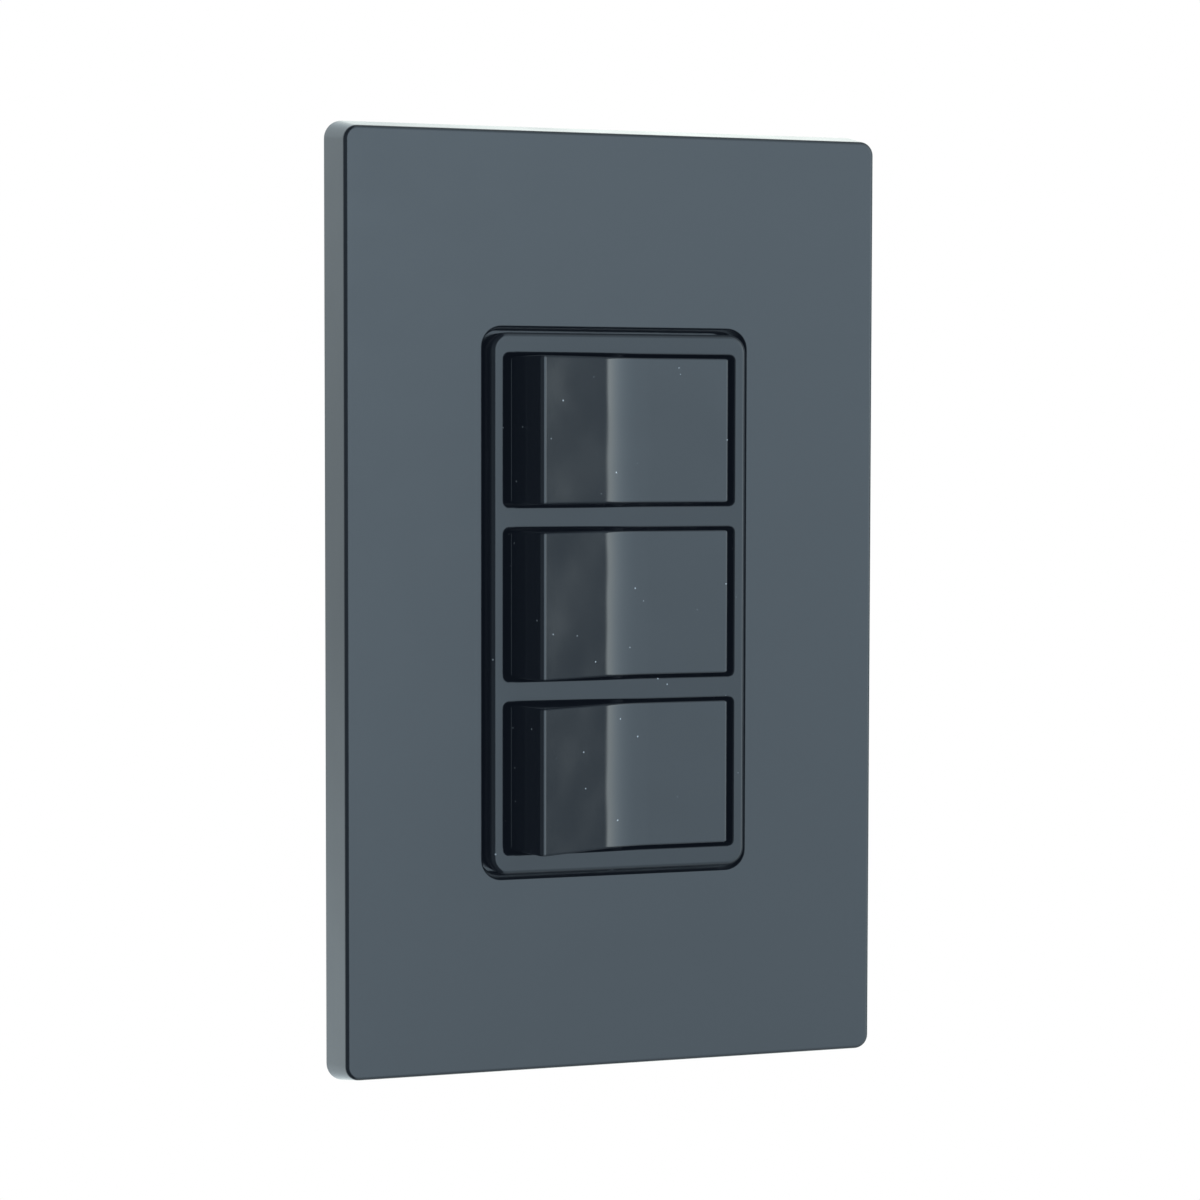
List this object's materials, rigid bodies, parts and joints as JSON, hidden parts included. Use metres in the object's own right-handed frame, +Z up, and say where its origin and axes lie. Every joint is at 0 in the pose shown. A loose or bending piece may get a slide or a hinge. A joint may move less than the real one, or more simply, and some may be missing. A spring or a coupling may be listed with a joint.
{
  "type": "wall plate with rocker switch",
  "caption": "Screwless rectangular wall plate with a triple rocker switch behind its window, on a metal mounting strap with side terminals.",
  "frame": {"origin": "middle of the bottom edge of the cover, on the plane of the wall", "axes": "+X to the right, +Z up, the front faces -Y and the wall box lies toward +Y"},
  "size_m": [0.0698, 0.0376, 0.1159],
  "materials": {
    "black_satin_plastic": "smooth satin, black",
    "black_gloss_plastic": "polished, black",
    "black_body_plastic": "moulded, black",
    "zinc_steel": "zinc plated",
    "brass": "bright brass",
    "copper_alloy": "copper alloy spring sheet",
    "silver_alloy": "silver contact alloy",
    "black_steel": "black oxide steel",
    "green_steel": "green dyed steel",
    "pale_nylon": "natural nylon"
  },
  "bodies": {
    "switch_body": {"sub_plate": "black_body_plastic", "mounting_strap": "zinc_steel", "switch_bezel": "black_gloss_plastic", "switch_housing": "black_body_plastic", "common_terminal": "brass", "ground_screw": "green_steel", "common_screw": "black_steel", "sub_plate_screw_top": "black_steel", "device_screw_top": "zinc_steel", "rivet_top_left": "zinc_steel", "rivet_top_right": "zinc_steel", "sub_plate_screw_bottom": "black_steel", "device_screw_bottom": "zinc_steel", "rivet_bottom_left": "zinc_steel", "rivet_bottom_right": "zinc_steel", "load_terminal_top": "brass", "load_screw_top": "brass", "fixed_contact_top": "silver_alloy", "load_terminal_middle": "brass", "load_screw_middle": "brass", "fixed_contact_middle": "silver_alloy", "load_terminal_bottom": "brass", "load_screw_bottom": "brass", "fixed_contact_bottom": "silver_alloy"},
    "cover": {"cover_plate": "black_satin_plastic"},
    "rocker_top_body": {"rocker_top": "black_gloss_plastic", "plunger_spring_top": "zinc_steel"},
    "plunger_top_body": {"plunger_top": "pale_nylon"},
    "lever_top_body": {"contact_lever_top": "copper_alloy", "moving_contact_top": "silver_alloy"},
    "rocker_middle_body": {"rocker_middle": "black_gloss_plastic", "plunger_spring_middle": "zinc_steel"},
    "plunger_middle_body": {"plunger_middle": "pale_nylon"},
    "lever_middle_body": {"contact_lever_middle": "copper_alloy", "moving_contact_middle": "silver_alloy"},
    "rocker_bottom_body": {"rocker_bottom": "black_gloss_plastic", "plunger_spring_bottom": "zinc_steel"},
    "plunger_bottom_body": {"plunger_bottom": "pale_nylon"},
    "lever_bottom_body": {"contact_lever_bottom": "copper_alloy", "moving_contact_bottom": "silver_alloy"}
  },
  "joints": [
    {"name": "cover_pull_off", "type": "slide", "parent": "switch_body", "child": "cover", "axis": [0, -1, 0], "range_m": [0, 0.025]},
    {"name": "rocker_top_swing", "type": "hinge", "parent": "switch_body", "child": "rocker_top_body", "pos_m": [0, -0.00536, 0.07895], "axis": [0, 0, 1], "range_deg": [-26, 0]},
    {"name": "plunger_top_travel", "type": "slide", "parent": "rocker_top_body", "child": "plunger_top_body", "axis": [0.225, -0.9744, 0], "range_m": [0, 0.0009], "stiffness_N_per_m": 400, "deforming": ["plunger_spring_top"]},
    {"name": "lever_top_seesaw", "type": "hinge", "parent": "switch_body", "child": "lever_top_body", "pos_m": [0, 0.007, 0.07895], "axis": [0, 0, 1], "range_deg": [0, 14]},
    {"name": "rocker_middle_swing", "type": "hinge", "parent": "switch_body", "child": "rocker_middle_body", "pos_m": [0, -0.00536, 0.05795], "axis": [0, 0, 1], "range_deg": [-26, 0]},
    {"name": "plunger_middle_travel", "type": "slide", "parent": "rocker_middle_body", "child": "plunger_middle_body", "axis": [0.225, -0.9744, 0], "range_m": [0, 0.0009], "stiffness_N_per_m": 400, "deforming": ["plunger_spring_middle"]},
    {"name": "lever_middle_seesaw", "type": "hinge", "parent": "switch_body", "child": "lever_middle_body", "pos_m": [0, 0.007, 0.05795], "axis": [0, 0, 1], "range_deg": [0, 14]},
    {"name": "rocker_bottom_swing", "type": "hinge", "parent": "switch_body", "child": "rocker_bottom_body", "pos_m": [0, -0.00536, 0.03695], "axis": [0, 0, 1], "range_deg": [-26, 0]},
    {"name": "plunger_bottom_travel", "type": "slide", "parent": "rocker_bottom_body", "child": "plunger_bottom_body", "axis": [0.225, -0.9744, 0], "range_m": [0, 0.0009], "stiffness_N_per_m": 400, "deforming": ["plunger_spring_bottom"]},
    {"name": "lever_bottom_seesaw", "type": "hinge", "parent": "switch_body", "child": "lever_bottom_body", "pos_m": [0, 0.007, 0.03695], "axis": [0, 0, 1], "range_deg": [0, 14]}
  ],
  "couplings": [
    {"joint": "lever_top_seesaw", "follows": "rocker_top_swing", "ratio": -0.53846},
    {"joint": "lever_middle_seesaw", "follows": "rocker_middle_swing", "ratio": -0.53846},
    {"joint": "lever_bottom_seesaw", "follows": "rocker_bottom_swing", "ratio": -0.53846}
  ]
}
